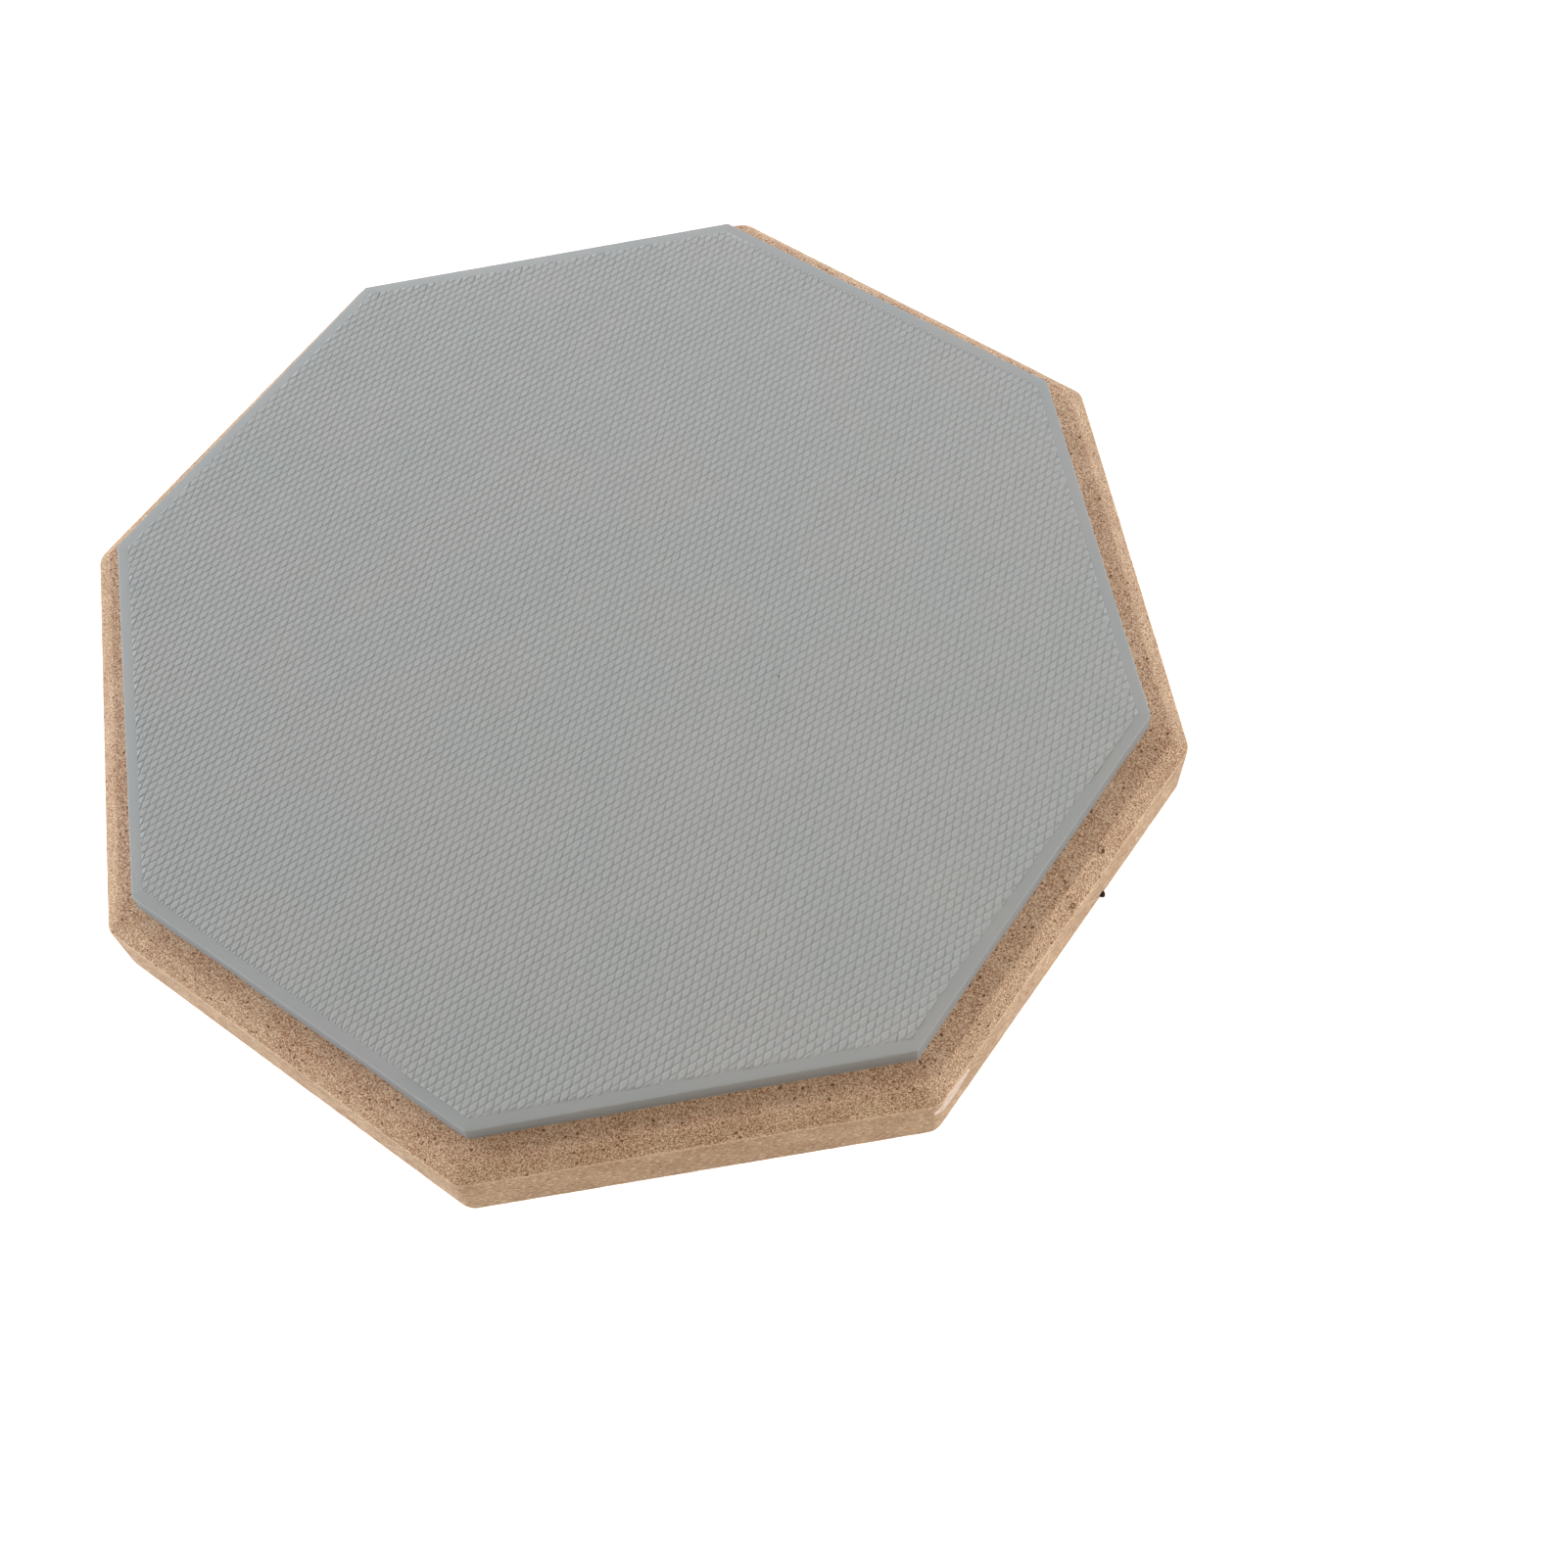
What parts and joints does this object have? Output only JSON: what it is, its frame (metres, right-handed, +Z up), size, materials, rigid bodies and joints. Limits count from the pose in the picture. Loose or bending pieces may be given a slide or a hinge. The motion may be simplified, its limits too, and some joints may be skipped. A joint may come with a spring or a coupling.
{
  "type": "drum practice pad",
  "caption": "Octagonal tabletop drum practice pad: a textured grey rubber sheet glued to a bevelled bare fibreboard block, with a foam sheet underneath.",
  "frame": {"origin": "centre of the underside, on the surface the pad rests on", "axes": "+Z up out of the playing surface; the octagon's flats face +X, -X, +Y and -Y"},
  "size_m": [0.205, 0.205, 0.027],
  "materials": {
    "fibreboard": "bare sanded medium density fibreboard",
    "playing_rubber": "matte grey, finely embossed",
    "dried_glue": "dried contact adhesive",
    "base_foam": "matte closed-cell foam"
  },
  "bodies": {
    "root": {"base_board": "fibreboard", "rubber_pad": "playing_rubber", "pad_glue": "dried_glue", "foam_base": "base_foam", "foam_glue": "dried_glue"}
  },
  "joints": []
}
